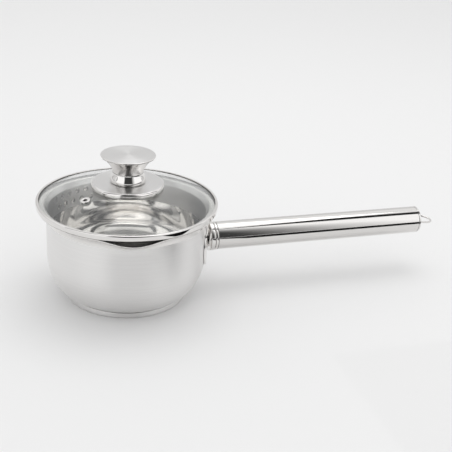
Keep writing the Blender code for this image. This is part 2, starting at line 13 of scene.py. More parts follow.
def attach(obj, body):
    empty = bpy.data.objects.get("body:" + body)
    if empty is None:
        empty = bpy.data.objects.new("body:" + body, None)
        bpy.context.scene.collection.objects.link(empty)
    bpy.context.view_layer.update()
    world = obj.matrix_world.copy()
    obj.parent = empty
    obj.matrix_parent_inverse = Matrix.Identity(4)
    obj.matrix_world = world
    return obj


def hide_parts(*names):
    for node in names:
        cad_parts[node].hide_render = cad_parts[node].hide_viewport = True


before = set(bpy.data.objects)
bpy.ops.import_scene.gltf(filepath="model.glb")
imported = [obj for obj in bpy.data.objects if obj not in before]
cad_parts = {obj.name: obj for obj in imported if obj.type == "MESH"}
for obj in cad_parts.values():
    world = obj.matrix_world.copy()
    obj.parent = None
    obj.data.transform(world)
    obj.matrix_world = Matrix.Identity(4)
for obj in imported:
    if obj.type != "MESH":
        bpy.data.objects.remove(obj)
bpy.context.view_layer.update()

bl_info = {
    "name": "Saucepan with glass lid",
    "version": (1, 0, 0),
    "blender": (4, 5, 0),
    "location": "3D View > Sidebar > Saucepan",
    "description": "Builds a stainless steel saucepan, its straining glass lid and a studio",
    "category": "Object",
}

MM = 0.001
GAP = 0.3 * MM
POLISHED = "mirror_polished_stainless_steel"
SATIN = "circle_brushed_stainless_steel"
TURNED = "face_turned_stainless_steel"
DRAWN = "lengthwise_polished_stainless_steel"


# ---------------------------------------------------------------- measuring the frame

def points(node):
    """Every vertex of a CAD node, as an array of (x, y, z) in metres."""
    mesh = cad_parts[node].data
    flat = np.empty(len(mesh.vertices) * 3, np.float32)
    mesh.vertices.foreach_get("co", flat)
    return flat.reshape(-1, 3).astype(float)


def turned_box(node):
    """Smallest and largest radius about Z, lowest and highest z of a CAD node."""
    at = points(node)
    radius = np.hypot(at[:, 0], at[:, 1])
    return radius.min(), radius.max(), at[:, 2].min(), at[:, 2].max()


def handle_axis():
    """A point on the handle's axis and its direction, from the middles of the tube's two halves."""
    at = points("handle_tube")
    middle = (at[:, 0].min() + at[:, 0].max()) / 2.0
    near = at[at[:, 0] < middle].mean(axis=0)
    far = at[at[:, 0] >= middle].mean(axis=0)
    along = (far - near) / np.linalg.norm(far - near)
    start = near - along * (near[0] / along[0])
    return start, along


def along_box(node):
    """Near end, far end and largest radius of a CAD node, measured along the handle's axis."""
    start, along = handle_axis()
    away = points(node) - start
    reach = away @ along
    radius = np.linalg.norm(away - reach[:, None] * along, axis=1)
    return reach.min(), reach.max(), radius.max()


# ---------------------------------------------------------------- surfaces

def rounded(corners, closed=True):
    """An outline whose corners are (x, y, radius): each gives way to the arc that touches its sides."""
    path = []
    for i, (x, y, radius) in enumerate(corners):
        here = np.array((x, y))
        if radius <= 0.0 or (not closed and i in (0, len(corners) - 1)):
            path.append(here[None])
            continue
        back = np.array(corners[i - 1][:2]) - here
        on = np.array(corners[(i + 1) % len(corners)][:2]) - here
        room = 0.49 * min(np.linalg.norm(back), np.linalg.norm(on))
        back = back / np.linalg.norm(back)
        on = on / np.linalg.norm(on)
        half = math.acos(max(-1.0, min(1.0, float(back @ on)))) / 2.0
        reach = min(radius / math.tan(half), room)
        bisector = (back + on) / np.linalg.norm(back + on)
        centre = here + bisector * reach / math.cos(half)
        first = here + back * reach - centre
        last = here + on * reach - centre
        turn = math.atan2(first[0] * last[1] - first[1] * last[0], float(first @ last))
        angle = np.linspace(0.0, turn, max(3, int(abs(turn) / 0.2) + 2))
        path.append(centre + np.stack([first[0] * np.cos(angle) - first[1] * np.sin(angle),
                                       first[0] * np.sin(angle) + first[1] * np.cos(angle)], axis=1))
    return np.concatenate(path)


def strip(middle, sheet):
    """The section of a bent strip: its middle line moved half a sheet to each side, with round ends."""
    ahead = np.gradient(middle, axis=0)
    ahead /= np.linalg.norm(ahead, axis=1)[:, None]
    side = np.stack([-ahead[:, 1], ahead[:, 0]], axis=1) * sheet / 2.0
    bend = np.radians(np.array([67.5, 45.0, 22.5, 0.0, -22.5, -45.0, -67.5]))[:, None]
    far = middle[-1] + side[-1] * np.sin(bend) + ahead[-1] * np.cos(bend) * sheet / 2.0
    near = middle[0] - side[0] * np.sin(bend) - ahead[0] * np.cos(bend) * sheet / 2.0
    return np.concatenate([middle + side, far, (middle - side)[::-1], near])


def lathe(section, steps):
    """A section of (radius, height) turned once about Z: x = r cos a, y = r sin a, z = height."""
    angle = np.linspace(0.0, math.tau, steps, endpoint=False)[:, None]
    radius = np.asarray(section)[None, :, 0]
    height = np.asarray(section)[None, :, 1] + 0.0 * angle
    return np.stack([radius * np.cos(angle), radius * np.sin(angle), height], axis=2)


def placed(grid, matrix):
    """The same grid of points under a placing matrix."""
    turn = np.array(matrix.to_3x3())
    return grid @ turn.T + np.array(matrix.translation)


def along_handle(section, steps):
    """A section of (radius, distance) turned about the handle's own axis."""
    start, along = handle_axis()
    side = np.array((0.0, 1.0, 0.0))
    above = np.cross(along, side)
    grid = lathe(section, steps)
    return start + grid[..., :1] * side + grid[..., 1:2] * -above + grid[..., 2:] * along


def piece(name, grid, finishes, body, node, closed=True, band=None, sharp=32.0):
    """One closed piece from a grid of points whose rows wrap round, and whose columns may too.

    Neighbouring points make quads, doubled points at the poles are merged and the faces turned
    outwards. band gives each column of faces the number of its finish.
    """
    rows, columns = grid.shape[:2]
    here = np.arange(rows)[:, None] * columns
    there = (np.arange(rows)[:, None] + 1) % rows * columns
    column = np.arange(columns if closed else columns - 1)[None, :]
    after = (column + 1) % columns
    quads = np.stack([here + column, there + column, there + after, here + after], axis=2)
    mesh = bpy.data.meshes.new(name)
    mesh.from_pydata(grid.reshape(-1, 3), [], quads.reshape(-1, 4))
    if band is not None:
        numbers = np.broadcast_to(np.asarray(band)[None, :column.size], (rows, column.size))
        mesh.polygons.foreach_set("material_index", np.ascontiguousarray(numbers, np.int32).ravel())
    work = bmesh.new()
    work.from_mesh(mesh)
    bmesh.ops.remove_doubles(work, verts=work.verts, dist=1e-7)
    bmesh.ops.recalc_face_normals(work, faces=work.faces)
    work.to_mesh(mesh)
    work.free()
    mesh.shade_smooth()
    mesh.set_sharp_from_angle(angle=math.radians(sharp))
    made = bpy.data.objects.new(name, mesh)
    bpy.context.scene.collection.objects.link(made)
    for finish in finishes:
        mesh.materials.append(material(finish))
    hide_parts(node)
    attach(made, body)
    return made


def pierce(made, radius, length, places, sides):
    """Take straight round holes out of a piece, one for each placing matrix."""
    work = bmesh.new()
    for place in places:
        bmesh.ops.create_cone(work, cap_ends=True, segments=sides, radius1=radius, radius2=radius,
                              depth=length, matrix=place)
    mesh = bpy.data.meshes.new("punches")
    work.to_mesh(mesh)
    work.free()
    punch = bpy.data.objects.new("punches", mesh)
    bpy.context.scene.collection.objects.link(punch)
    boolean = made.modifiers.new("Pierce", "BOOLEAN")
    boolean.operation = "DIFFERENCE"
    boolean.solver = "EXACT"
    boolean.object = punch
    bpy.context.view_layer.update()
    settled = bpy.data.meshes.new_from_object(made.evaluated_get(bpy.context.evaluated_depsgraph_get()))
    made.modifiers.remove(boolean)
    made.data = settled
    bpy.data.objects.remove(punch, do_unlink=True)
    settled.shade_smooth()
    settled.set_sharp_from_angle(angle=math.radians(32.0))


# ---------------------------------------------------------------- materials

def linear(code):
    """An sRGB hex colour as linear red, green, blue and 1."""
    parts = [int(code[i:i + 2], 16) / 255.0 for i in (0, 2, 4)]
    return tuple(c / 12.92 if c <= 0.04045 else ((c + 0.055) / 1.055) ** 2.4 for c in parts) + (1.0,)


def add(tree, kind, sockets=(), links=(), **settings):
    """Add one node to a tree, with its settings, socket values and incoming links."""
    made = tree.nodes.new("ShaderNode" + kind)
    for key, value in settings.items():
        setattr(made, key, value)
    for key, value in sockets:
        made.inputs[key].default_value = value
    for key, source in links:
        tree.links.new(source, made.inputs[key])
    return made


def new_material(name):
    """An empty node material and its Principled shader, already joined to the output."""
    made = bpy.data.materials.new(name)
    made.use_nodes = True
    made.node_tree.nodes.clear()
    shader = add(made.node_tree, "BsdfPrincipled")
    add(made.node_tree, "OutputMaterial", links=[("Surface", shader.outputs["BSDF"])])
    return made.node_tree, shader


def mirror_steel(sizes):
    """18/10 stainless, buffed on a wheel: a near mirror, with faint haze and a slow waviness.

    Haze patches about 12 mm across lift the roughness; waves about 20 mm long bend reflections.
    """
    tree, shader = new_material(POLISHED)
    place = add(tree, "TexCoord").outputs["Object"]
    haze = add(tree, "TexNoise", [("Scale", 80.0), ("Detail", 4.0)], [("Vector", place)])
    rough = add(tree, "MapRange", [("To Min", 0.035), ("To Max", 0.085)], [("Value", haze.outputs["Fac"])])
    waves = add(tree, "TexNoise", [("Scale", 50.0), ("Detail", 1.0)], [("Vector", place)])
    bump = add(tree, "Bump", [("Strength", 0.05), ("Distance", 0.0004)], [("Height", waves.outputs["Fac"])])
    shader.inputs["Base Color"].default_value = linear(sizes.polished_colour)
    shader.inputs["Metallic"].default_value = 1.0
    tree.links.new(rough.outputs["Result"], shader.inputs["Roughness"])
    tree.links.new(bump.outputs["Normal"], shader.inputs["Normal"])


def brushed_steel(name, colour, low, high, line, depth, lengthwise):
    """Stainless brushed in one direction: fine lines that run round the axis, or along the handle.

    Noise is squeezed across the lines to their spacing, in millimetres, and stretched along them.
    """
    tree, shader = new_material(name)
    place = add(tree, "TexCoord").outputs["Object"]
    axes = add(tree, "SeparateXYZ", links=[("Vector", place)])
    fine = 1.0 / (line * MM)
    slow = 12.0
    if lengthwise:
        across = [axes.outputs["Y"], axes.outputs["Z"]]
        onward = axes.outputs["X"]
    else:
        flat = add(tree, "CombineXYZ", links=[("X", axes.outputs["X"]), ("Y", axes.outputs["Y"])])
        radius = add(tree, "VectorMath", links=[("Vector", flat.outputs["Vector"])], operation="LENGTH")
        across = [radius.outputs["Value"], axes.outputs["Z"]]
        lean = add(tree, "Math", [(1, 0.7)], [(0, axes.outputs["Y"])], operation="MULTIPLY")
        total = add(tree, "Math", links=[(0, axes.outputs["X"]), (1, lean.outputs["Value"])])
        onward = total.outputs["Value"]
    first = add(tree, "Math", [(1, fine)], [(0, across[0])], operation="MULTIPLY")
    second = add(tree, "Math", [(1, fine)], [(0, across[1])], operation="MULTIPLY")
    third = add(tree, "Math", [(1, slow)], [(0, onward)], operation="MULTIPLY")
    grain = add(tree, "CombineXYZ", links=[("X", first.outputs["Value"]), ("Y", second.outputs["Value"]),
                                           ("Z", third.outputs["Value"])])
    lines = add(tree, "TexNoise", [("Scale", 1.0), ("Detail", 3.0), ("Roughness", 0.6)],
                [("Vector", grain.outputs["Vector"])])
    patches = add(tree, "TexNoise", [("Scale", 35.0), ("Detail", 2.0)], [("Vector", place)])
    both = add(tree, "Mix", [("Factor", 0.35)],
               [("A", lines.outputs["Fac"]), ("B", patches.outputs["Fac"])], data_type="FLOAT")
    rough = add(tree, "MapRange", [("From Min", 0.3), ("From Max", 0.7), ("To Min", low), ("To Max", high)],
                [("Value", both.outputs["Result"])])
    darker = tuple(0.9 * c for c in linear(colour)[:3]) + (1.0,)
    tone = add(tree, "Mix", [("A", darker), ("B", linear(colour))], [("Factor", lines.outputs["Fac"])],
               data_type="RGBA")
    bump = add(tree, "Bump", [("Strength", 0.35), ("Distance", depth * MM)],
               [("Height", lines.outputs["Fac"])])
    shader.inputs["Metallic"].default_value = 1.0
    if not lengthwise:
        back = add(tree, "Math", [(1, -1.0)], [(0, axes.outputs["Y"])], operation="MULTIPLY")
        round_axis = add(tree, "CombineXYZ", links=[("X", back.outputs["Value"]), ("Y", axes.outputs["X"])])
        lies = add(tree, "VectorTransform", links=[("Vector", round_axis.outputs["Vector"])],
                   vector_type="VECTOR", convert_from="OBJECT", convert_to="WORLD")
        tree.links.new(lies.outputs["Vector"], shader.inputs["Tangent"])
        shader.inputs["Anisotropic"].default_value = 0.75
        shader.inputs["Anisotropic Rotation"].default_value = 0.25
    tree.links.new(tone.outputs["Result"], shader.inputs["Base Color"])
    tree.links.new(rough.outputs["Result"], shader.inputs["Roughness"])
    tree.links.new(bump.outputs["Normal"], shader.inputs["Normal"])


def float_glass(sizes):
    """Tempered soda-lime glass, pressed to a dome: clear, faintly green, with slight roller waves."""
    tree, shader = new_material("tempered_soda_lime_glass")
    place = add(tree, "TexCoord").outputs["Object"]
    waves = add(tree, "TexNoise", [("Scale", 28.0), ("Detail", 1.0)], [("Vector", place)])
    bump = add(tree, "Bump", [("Strength", 0.03), ("Distance", 0.0005)], [("Height", waves.outputs["Fac"])])
    shader.inputs["Base Color"].default_value = linear(sizes.glass_tint)
    shader.inputs["Transmission Weight"].default_value = 1.0
    shader.inputs["IOR"].default_value = 1.52
    shader.inputs["Roughness"].default_value = 0.0
    tree.links.new(bump.outputs["Normal"], shader.inputs["Normal"])


def grained(name, code, metallic, rough, spacing, depth):
    """A plain finish with a fine all-over grain: mill aluminium or moulded silicone."""
    tree, shader = new_material(name)
    place = add(tree, "TexCoord").outputs["Object"]
    grain = add(tree, "TexNoise", [("Scale", 1.0 / (spacing * MM)), ("Detail", 3.0)], [("Vector", place)])
    bump = add(tree, "Bump", [("Strength", 0.3), ("Distance", depth * MM)],
               [("Height", grain.outputs["Fac"])])
    spread = add(tree, "MapRange", [("To Min", rough * 0.85), ("To Max", rough * 1.15)],
                 [("Value", grain.outputs["Fac"])])
    shader.inputs["Base Color"].default_value = linear(code)
    shader.inputs["Metallic"].default_value = metallic
    tree.links.new(spread.outputs["Result"], shader.inputs["Roughness"])
    tree.links.new(bump.outputs["Normal"], shader.inputs["Normal"])


def material(name):
    """The finish of that name, which the first step of the script has made."""
    return bpy.data.materials[name]


class PanSizes(bpy.types.PropertyGroup):
    """Sizes of the pan that the frame's boxes don't give."""
    sheet: bpy.props.FloatProperty(name="Sheet", description="Thickness of the drawn shell",
                                   default=0.8 * MM, unit="LENGTH")
    wall_radius: bpy.props.FloatProperty(name="Wall radius", description="Outside radius of the wall",
                                         default=78.8 * MM, unit="LENGTH")
    wall_top: bpy.props.FloatProperty(name="Wall top", description="Height at which the flare starts",
                                      default=83.0 * MM, unit="LENGTH")
    corner_width: bpy.props.FloatProperty(name="Corner width", description="Reach of the rounded corner",
                                          default=27.0 * MM, unit="LENGTH")
    corner_height: bpy.props.FloatProperty(name="Corner height", description="Height of that corner",
                                           default=42.4 * MM, unit="LENGTH")
    flare_out: bpy.props.FloatProperty(name="Flare", description="How far the lip stands out",
                                       default=8.6 * MM, unit="LENGTH")
    flare_up: bpy.props.FloatProperty(name="Flare height", description="How far the lip rises",
                                      default=10.2 * MM, unit="LENGTH")
    spout_angle: bpy.props.FloatProperty(name="Pouring lips", description="Angle from the handle",
                                         default=math.radians(97.5), subtype="ANGLE")
    spout_half: bpy.props.FloatProperty(name="Lip half width", description="Half of a pouring lip's angle",
                                        default=math.radians(24.0), subtype="ANGLE")
    spout_out: bpy.props.FloatProperty(name="Lip reach", description="How far a pouring lip stands out",
                                       default=4.5 * MM, unit="LENGTH")
    spout_drop: bpy.props.FloatProperty(name="Lip drop", description="How far a pouring lip dips",
                                        default=3.2 * MM, unit="LENGTH")


class LidSizes(bpy.types.PropertyGroup):
    """Sizes of the lid that the frame's boxes don't give."""
    sheet: bpy.props.FloatProperty(name="Ring sheet", description="Thickness of the rolled ring",
                                   default=0.6 * MM, unit="LENGTH")
    glass: bpy.props.FloatProperty(name="Glass", description="Thickness of the glass",
                                   default=3.5 * MM, unit="LENGTH")
    strainer_angle: bpy.props.FloatProperty(name="Strainer", description="Angle of the coarse holes",
                                            default=math.radians(124.4), subtype="ANGLE")
    coarse: bpy.props.FloatProperty(name="Coarse holes", description="Radius of the coarse holes",
                                    default=2.8 * MM, unit="LENGTH")
    fine: bpy.props.FloatProperty(name="Fine holes", description="Radius of the fine holes",
                                  default=1.6 * MM, unit="LENGTH")


class Finishes(bpy.types.PropertyGroup):
    """Colours of the finishes, as sRGB hex."""
    polished_colour: bpy.props.StringProperty(name="Polished steel", description="Colour of polished steel",
                                              default="E6E4E2")
    brushed_colour: bpy.props.StringProperty(name="Brushed steel", description="Colour of brushed steel",
                                             default="F0EFEE")
    turned_colour: bpy.props.StringProperty(name="Turned steel",
                                            description="Colour of the knob's turned faces",
                                            default="E8E7E6")
    glass_tint: bpy.props.StringProperty(name="Glass tint", description="Tint of the lid's glass",
                                         default="FDFEFD")
    floor_colour: bpy.props.StringProperty(name="Floor", description="Colour of the floor",
                                           default="EBEBEB")


# ---------------------------------------------------------------- pan

def spouts_pressed(grid, sizes, top):
    """Press the lip out and down: share = cos^2 of the angle away, times the rise to the power 1.2."""
    root = sizes.wall_top - 5.0 * MM
    rise = np.clip((grid[..., 2] - root) / (top - root), 0.0, None) ** 1.2
    angle = np.arctan2(grid[..., 1], grid[..., 0])
    share = np.zeros(rise.shape)
    for middle in (-sizes.spout_angle, math.pi - sizes.spout_angle):
        away = np.abs((angle - middle + math.pi) % math.tau - math.pi)
        inside = np.clip(away / sizes.spout_half, 0.0, 1.0)
        share = share + np.cos(math.pi / 2.0 * inside) ** 2 * rise
    radius = np.hypot(grid[..., 0], grid[..., 1])
    grow = 1.0 + sizes.spout_out * share / np.maximum(radius, MM)
    return np.stack([grid[..., 0] * grow, grid[..., 1] * grow,
                     grid[..., 2] - sizes.spout_drop * share], axis=2)


def ellipse(centre, radii, start, end, count):
    """Points along an ellipse's arc, angles in degrees from +r."""
    angle = np.radians(np.linspace(start, end, count))
    return np.stack([centre[0] + radii[0] * np.cos(angle), centre[1] + radii[1] * np.sin(angle)], axis=1)


def build_vessel(sizes):
    """Floor, elliptical corner, straight wall and round flare, each face a parallel of the other."""
    under = turned_box("vessel")[2]
    corner = (sizes.wall_radius - sizes.corner_width, under + sizes.corner_height)
    turn = 2.0 * math.atan2(sizes.flare_out, sizes.flare_up)
    bend = sizes.flare_up / math.sin(turn)
    centre = (sizes.wall_radius + bend, sizes.wall_top)
    inner = (sizes.corner_width - sizes.sheet, sizes.corner_height - sizes.sheet)
    end = 180.0 - math.degrees(turn)
    lip = np.array((math.cos(math.radians(end)), math.sin(math.radians(end))))
    ahead = np.array((lip[1], -lip[0]))
    middle = np.array(centre) + lip * (bend + sizes.sheet / 2.0)
    swing = np.radians(np.array([60.0, 30.0, 0.0, -30.0, -60.0]))[:, None]
    rim = middle + (lip * np.sin(swing) + ahead * np.cos(swing)) * sizes.sheet / 2.0
    wide = sizes.wall_radius - sizes.corner_width
    flat = np.stack([np.linspace(0.0, wide, 12), np.full(12, under + sizes.sheet)], axis=1)
    wall = np.stack([np.full(8, sizes.wall_radius),
                     np.linspace(sizes.wall_top, corner[1], 10)[1:-1]], axis=1)
    inside = [flat[:-1], ellipse(corner, inner, -90.0, 0.0, 28),
              (wall - np.array((sizes.sheet, 0.0)))[::-1],
              ellipse(centre, (bend + sizes.sheet, bend + sizes.sheet), 180.0, end, 18), rim]
    outside = [ellipse(centre, (bend, bend), end, 180.0, 18), wall,
               ellipse(corner, (sizes.corner_width, sizes.corner_height), 0.0, -90.0, 28),
               (flat - np.array((0.0, sizes.sheet)))[::-1][1:]]
    section = np.concatenate(inside + outside)
    polished = sum(len(part) for part in inside) + 17
    band = np.where(np.arange(len(section)) < polished, 0, 1)
    grid = spouts_pressed(lathe(section, 360), sizes, turned_box("vessel")[3])
    return piece("vessel_shell", grid, (POLISHED, SATIN), "pan", "vessel",
                 closed=False, band=band)


def build_base():
    """The cap: a flat disc with a rounded edge and an upright side, closed over the core."""
    _, radius, low, high = turned_box("base_cap")
    sheet = 0.6 * MM
    turned_edge = 0.25 * MM
    section = rounded([(0.0, low, 0.0), (radius, low, 2.0 * MM), (radius, high, turned_edge),
                       (radius - sheet, high, turned_edge), (radius - sheet, low + sheet, 1.4 * MM),
                       (0.0, low + sheet, 0.0)], closed=False)
    return piece("base_cap_shell", lathe(section, 256), (SATIN,), "pan", "base_cap",
                 closed=False)


def build_flange(sizes):
    """Closed rings lofted from a squared oval on the wall's cylinder to the collar's round seat."""
    start, along = handle_axis()
    at = points("handle_flange")
    centre_z = (at[:, 2].min() + at[:, 2].max()) / 2.0
    half = (at[:, 1].max(), (at[:, 2].max() - at[:, 2].min()) / 2.0)
    seat_s, _, _ = along_box("handle_collar")
    seat_s = seat_s - GAP
    seat_r = 15.0 * MM
    bore_r = 9.0 * MM
    angle = np.linspace(0.0, math.tau, 160, endpoint=False)
    power = 3.2
    reach = (np.abs(np.cos(angle)) ** power + np.abs(np.sin(angle)) ** power) ** (-1.0 / power)
    edge = np.stack([half[0] * np.cos(angle) * reach, centre_z + half[1] * np.sin(angle) * reach], axis=1)
    wall = sizes.wall_radius + GAP
    side = np.array((0.0, 1.0, 0.0))
    above = np.cross(along, side) * -1.0

    def lying(flat, out):
        """Points on the wall's cylinder at (y, z), moved out by a distance along X."""
        return np.stack([np.sqrt(wall ** 2 - flat[:, 0] ** 2) + out, flat[:, 0], flat[:, 1]], axis=1)

    def circle(radius):
        """Points on a circle round the handle's axis at the seat."""
        return (start + along * seat_s + radius * np.cos(angle)[:, None] * side
                + radius * np.sin(angle)[:, None] * above)

    seat = circle(seat_r)
    root = circle(bore_r)[:, 1:]
    rings = [lying(edge, 0.0), lying(edge, 0.6 * MM), lying(edge * (0.994, 1.0), 1.05 * MM)]
    proud = lying(edge * (0.985, 1.0), 1.2 * MM)
    for share in np.linspace(0.0, 1.0, 22):
        mixed = proud + (seat - proud) * share
        mixed[:, 0] = proud[:, 0] + (seat[:, 0] - proud[:, 0]) * share ** 1.25
        rings.append(mixed)
    rings += [circle(bore_r), lying(root, 0.0)]
    for share in np.linspace(0.0, 1.0, 8)[1:-1]:
        rings.append(lying(root + (edge - root) * share, 0.0))
    grid = np.stack(rings, axis=1)
    return piece("flange_shell", grid, (POLISHED,), "pan", "handle_flange", sharp=50.0)


def build_handle():
    """Collar, shoulder with its spigot, drawn tube and domed end cap, turned on the handle's axis."""
    collar_wall = 3.7 * MM
    stub_length = 4.9 * MM
    plug_length = 6.0 * MM
    near, far, radius = along_box("handle_collar")
    bore = radius - collar_wall
    collar = rounded([(bore, near, 0.0), (bore, far, 0.0), (radius, far, 0.9 * MM),
                      (radius, near, 0.9 * MM)])
    piece("collar_ring", along_handle(collar, 128), (POLISHED,), "pan", "handle_collar")
    tube_near, tube_far, tube_r = along_box("handle_tube")
    at = points("handle_tube")
    start, along = handle_axis()
    reach = (at - start) @ along
    last = at[reach > tube_far - MM] - start
    end_r = np.linalg.norm(last - (last @ along)[:, None] * along, axis=1).max()
    near, far, radius = along_box("handle_spigot")
    spigot_r = end_r - 1.3 * MM
    thick = 1.6 * MM
    shoulder = tube_near - GAP
    stub_end = near + stub_length
    stub_r = bore - GAP
    spigot = rounded([(0.0, near, 0.0), (stub_r, near, 0.0), (stub_r, stub_end, 0.0),
                      (radius, stub_end, 0.8 * MM), (radius, shoulder, 0.8 * MM), (spigot_r, shoulder, 0.0),
                      (spigot_r, far, 0.4 * MM), (spigot_r - thick, far, 0.4 * MM),
                      (spigot_r - thick, stub_end + thick, 0.0), (0.0, stub_end + thick, 0.0)],
                     closed=False)
    piece("spigot_shell", along_handle(spigot, 128), (POLISHED,), "pan", "handle_spigot",
          closed=False)
    wall = 1.0 * MM
    tube = rounded([(tube_r, tube_near, 0.25 * MM), (end_r, tube_far, 0.2 * MM),
                    (end_r - wall, tube_far, 0.2 * MM), (tube_r - wall, tube_near, 0.2 * MM)])
    piece("tube_shell", along_handle(tube, 160), (DRAWN,), "pan", "handle_tube")
    near, far, radius = along_box("handle_end_cap")
    rim = near + plug_length
    crown = rounded([(0.0, far, 0.0), (radius * 0.45, far - 0.3 * MM, 3.0 * MM),
                     (radius, far - 1.4 * MM, 2.1 * MM), (radius, rim, 0.2 * MM),
                     (spigot_r, rim, 0.0), (spigot_r, near, 0.3 * MM),
                     (spigot_r - thick, near, 0.3 * MM), (spigot_r - thick, rim, 0.0), (0.0, rim, 0.0)],
                    closed=False)
    return piece("end_cap_shell", along_handle(crown, 128), (DRAWN,), "pan", "handle_end_cap",
                 closed=False)


def build_loop():
    """A round wire swept along two straight legs and a half circle, its ends closed flat."""
    at = points("hanging_loop")
    wire = 1.1 * MM
    half = at[:, 1].max() - wire
    near = at[at[:, 0] < at[:, 0].min() + 2.5 * wire].mean(axis=0)
    far = at[at[:, 0] > at[:, 0].max() - 2.0 * wire].mean(axis=0)
    ahead = far - near
    ahead[1] = 0.0
    ahead /= np.linalg.norm(ahead)
    side = np.array((0.0, 1.0, 0.0))
    above = np.cross(ahead, side)
    reach = (at - near) @ ahead
    base = near - near * (0.0, 1.0, 0.0) + ahead * reach.min()
    leg = reach.max() - reach.min() - wire - half
    bend = np.linspace(math.pi / 2.0, -math.pi / 2.0, 48)
    steps = 7
    straight = np.linspace(0.0, leg, steps + 1)[:-1]
    along_path = np.concatenate([straight, leg + half * np.cos(bend), straight[::-1]])
    side_path = np.concatenate([np.full(steps, half), half * np.sin(bend), np.full(steps, -half)])
    path = base + along_path[:, None] * ahead + side_path[:, None] * side
    tangent = np.gradient(path, axis=0)
    tangent /= np.linalg.norm(tangent, axis=1)[:, None]
    across = np.cross(tangent, above)
    sides = 28
    angle = np.linspace(0.0, math.tau, sides, endpoint=False)[:, None, None]
    tube = path[None] + wire * (np.cos(angle) * across[None] + np.sin(angle) * above[None, None])
    first = np.broadcast_to(path[0], (sides, 1, 3))
    last = np.broadcast_to(path[-1], (sides, 1, 3))
    grid = np.concatenate([first, tube, last], axis=1)
    return piece("loop_wire", grid, (POLISHED,), "pan", "hanging_loop", closed=False)


# ---------------------------------------------------------------- lid

def hole_places(angle, count, step, radius, top):
    """Matrices of two staggered rows of holes, centred on an angle of the skirt."""
    row_step = 9.2 * MM
    places = []
    for row in (0, 1):
        held = count - row
        for i in range(held):
            at = angle + (i - (held - 1) / 2.0) * step
            reach = Matrix.Translation((radius, 0.0, top - row * row_step))
            places.append(Matrix.Rotation(at, 4, "Z") @ reach @ Matrix.Rotation(math.pi / 2.0, 4, "Y"))
    return places


def build_ring(sizes):
    """One rolled strip: lip over the glass, side, shelf, cone and pierced skirt."""
    _, rim_r, foot, top = turned_box("lid_ring")
    half = sizes.sheet / 2.0
    shelf = turned_box("vessel")[3] + GAP + half
    at = points("lid_ring")
    low = at[at[:, 2] < foot + MM]
    skirt_r = np.hypot(low[:, 0], low[:, 1]).max()
    skirt = skirt_r - half
    cone_drop = 6.2 * MM
    cone_out = 3.2 * MM
    lip = 2.4 * MM
    skirt_top = shelf + half - cone_drop
    first_row = skirt_top - 4.4 * MM
    bend = 1.2 * MM
    middle = rounded([(rim_r - lip, top - half, 0.0), (rim_r - half, top - half, bend),
                      (rim_r - half, shelf, bend), (skirt + cone_out, shelf, bend * 1.3),
                      (skirt, skirt_top + 0.5 * MM, bend * 1.5), (skirt, foot, 0.0)], closed=False)
    down = np.linspace(skirt_top - 3.0 * MM, foot, 8)
    middle = np.concatenate([middle[:-1], np.stack([np.full(len(down), skirt), down], axis=1)])
    section = strip(middle, sizes.sheet)
    matt = (section[:, 1] < shelf - half * 1.5) & (section[:, 0] < skirt + 3.0 * MM)
    ring = piece("lid_ring_strip", lathe(section, 288), (POLISHED, SATIN), "lid", "lid_ring",
                 band=np.where(matt, 1, 0))
    coarse = hole_places(sizes.strainer_angle, 6, math.radians(8.1), skirt, first_row)
    fine = hole_places(sizes.strainer_angle + math.pi, 9, math.radians(5.0), skirt, first_row)
    pierce(ring, sizes.coarse, 5.0 * MM, coarse, 32)
    pierce(ring, sizes.fine, 5.0 * MM, fine, 24)
    return ring


def dome(sizes):
    """Edge radius, height of the crown and the radius of the sphere of the glass's upper face."""
    _, radius, _, crown = turned_box("lid_glass")
    at = points("lid_glass")
    edge = at[np.hypot(at[:, 0], at[:, 1]) > radius - 0.1 * MM][:, 2].max()
    rise = crown - edge
    return radius, crown, (radius ** 2 + rise ** 2) / (2.0 * rise)


def vent_matrix(sizes):
    """Place of the vent, square to the dome, with its zero on the glass's upper face."""
    _, crown, sphere = dome(sizes)
    at = points("vent_eyelet")
    middle = (at.min(axis=0) + at.max(axis=0)) / 2.0
    centre = Vector((0.0, 0.0, crown - sphere))
    out = (Vector(middle) - centre).normalized()
    turn = Vector((0.0, 0.0, 1.0)).rotation_difference(out).to_matrix().to_4x4()
    return Matrix.Translation(centre + out * sphere) @ turn


def build_glass(sizes):
    """Two concentric spheres a glass thickness apart, with ground, rounded edges."""
    radius, crown, sphere = dome(sizes)
    bore = turned_box("lid_glass")[0]
    centre = crown - sphere
    across = np.linspace(bore, radius - 0.5 * MM, 48)
    upper = np.stack([across, centre + np.sqrt(sphere ** 2 - across ** 2)], axis=1)
    lower = np.stack([across, centre + np.sqrt((sphere - sizes.glass) ** 2 - across ** 2)], axis=1)
    high = centre + math.sqrt(sphere ** 2 - radius ** 2)
    low = centre + math.sqrt((sphere - sizes.glass) ** 2 - radius ** 2)
    ground = rounded([(*upper[-1], 0.0), (radius, high, 0.5 * MM), (radius, low, 0.5 * MM),
                      (*lower[-1], 0.0)], closed=False)
    section = np.concatenate([upper[:-1], ground, lower[::-1][1:]])
    pane = piece("lid_pane", lathe(section, 256), ("tempered_soda_lime_glass",), "lid", "lid_glass")
    pierce(pane, 3.3 * MM, 20.0 * MM, [vent_matrix(sizes)], 48)
    return pane


